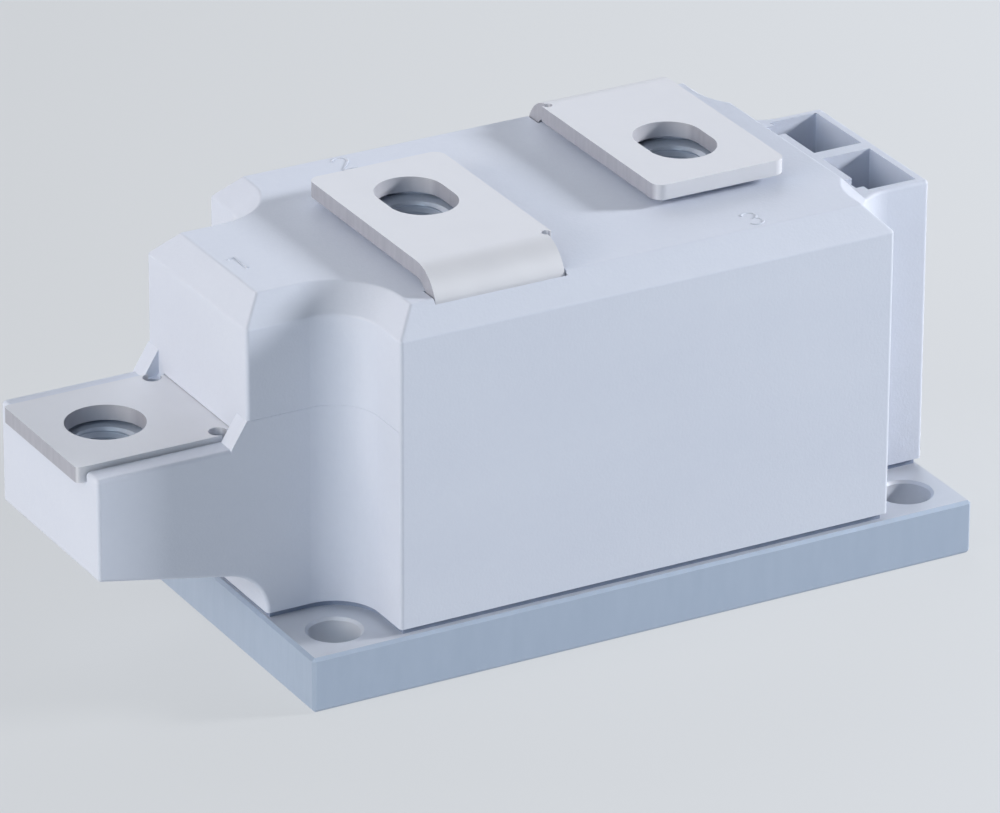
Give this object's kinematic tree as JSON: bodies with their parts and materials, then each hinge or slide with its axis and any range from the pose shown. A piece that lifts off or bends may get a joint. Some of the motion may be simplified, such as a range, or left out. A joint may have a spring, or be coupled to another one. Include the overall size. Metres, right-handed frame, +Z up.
{
  "type": "thyristor module",
  "caption": "Power module: flat baseplate with mounting holes, moulded housing with chamfered top, low arm terminal, bent strip terminals over captive nuts and gate sockets.",
  "frame": {"origin": "centre of the mounting hole pattern on the baseplate's underside", "axes": "+X along the module towards the gate sockets, +Y to the rear, +Z up from the heat sink"},
  "size_m": [0.1154, 0.05, 0.0521],
  "materials": {
    "housing_plastic": "fine matt moulded thermoplastic, pale blue grey",
    "nickel_base": "nickel plated copper, satin",
    "nickel_strip": "nickel plated copper sheet, satin",
    "nut_steel": "zinc plated steel",
    "sealant": "dark adhesive bead",
    "tinned_brass": "tinned brass",
    "copper": "bare copper sheet",
    "ceramic": "sintered ceramic, off white",
    "frame_plastic": "dark moulded insulating plastic",
    "silicon": "lapped silicon on a metal carrier",
    "contact_metal": "ground metal disc",
    "spring_steel": "spring steel, oiled",
    "screw_steel": "blackened steel",
    "sleeve_plastic": "natural insulating plastic",
    "wire": "insulated wire"
  },
  "bodies": {
    "root": {"baseplate": "nickel_base", "housing": "housing_plastic", "base_seal": "sealant", "insulating_frame": "frame_plastic", "middle_link": "copper", "terminal_1": "nickel_strip", "terminal_2": "nickel_strip", "terminal_3": "nickel_strip", "nut_1": "nut_steel", "nut_2": "nut_steel", "nut_3": "nut_steel", "insulator_left": "ceramic", "thyristor_left": "silicon", "contact_disc_left": "contact_metal", "pressure_ring_left": "ceramic", "disc_springs_left": "spring_steel", "clamp_bar_left": "spring_steel", "clamp_screws_left": "screw_steel", "gate_sleeve_left": "sleeve_plastic", "gate_pin_left": "tinned_brass", "gate_lead_left": "wire", "cathode_lead_left": "wire", "insulator_right": "ceramic", "thyristor_right": "silicon", "contact_disc_right": "contact_metal", "pressure_ring_right": "ceramic", "disc_springs_right": "spring_steel", "clamp_bar_right": "spring_steel", "clamp_screws_right": "screw_steel", "gate_sleeve_right": "sleeve_plastic", "gate_pin_right": "tinned_brass", "gate_lead_right": "wire", "cathode_lead_right": "wire", "gate_blade_4": "tinned_brass", "gate_blade_5": "tinned_brass", "gate_blade_6": "tinned_brass", "gate_blade_7": "tinned_brass"}
  },
  "joints": []
}
